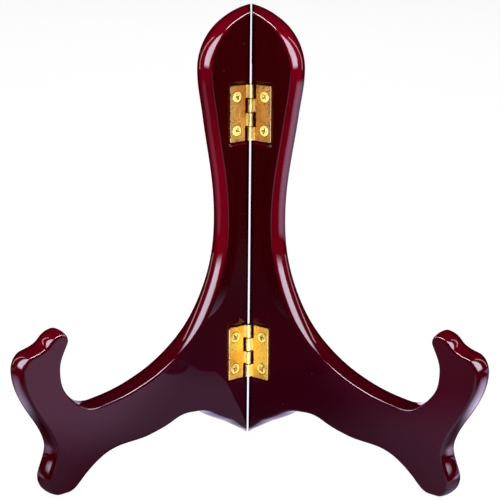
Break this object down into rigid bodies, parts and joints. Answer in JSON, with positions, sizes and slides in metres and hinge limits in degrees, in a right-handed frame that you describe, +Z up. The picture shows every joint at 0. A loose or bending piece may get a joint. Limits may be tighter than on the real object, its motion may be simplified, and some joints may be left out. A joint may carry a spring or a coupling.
{
  "type": "folding plate display stand",
  "caption": "Folding plate stand of curved lacquered boards hinged along an upright spine, opening into a V with upturned hooks that hold a plate's rim.",
  "frame": {"origin": "middle of the set-up stand's footprint box, at the level of the floor it stands on", "axes": "+Z up along the hinge pins; the V between the boards opens towards -Y; +X is to the right seen from the open side"},
  "size_m": [0.2018, 0.0882, 0.2038],
  "materials": {
    "lacquered_wood": "dark red mahogany stain under thick high-gloss clear lacquer",
    "hinge_brass": "rolled sheet brass, satin, slightly tarnished",
    "screw_brass": "bright turned brass"
  },
  "bodies": {
    "left_half": {"left_wing": "lacquered_wood", "upper_left_leaf": "hinge_brass", "lower_left_leaf": "hinge_brass", "upper_hinge_pin": "hinge_brass", "lower_hinge_pin": "hinge_brass", "upper_left_screw_top": "screw_brass", "upper_left_screw_bottom": "screw_brass", "lower_left_screw_top": "screw_brass", "lower_left_screw_bottom": "screw_brass"},
    "right_half": {"right_wing": "lacquered_wood", "upper_right_leaf": "hinge_brass", "lower_right_leaf": "hinge_brass", "upper_right_screw_top": "screw_brass", "upper_right_screw_bottom": "screw_brass", "lower_right_screw_top": "screw_brass", "lower_right_screw_bottom": "screw_brass"}
  },
  "joints": [
    {"name": "fold", "type": "hinge", "parent": "left_half", "child": "right_half", "pos_m": [0, 0.03011, 0.1011], "axis": [0, 0, -1], "range_deg": [-3.5, 103]}
  ]
}
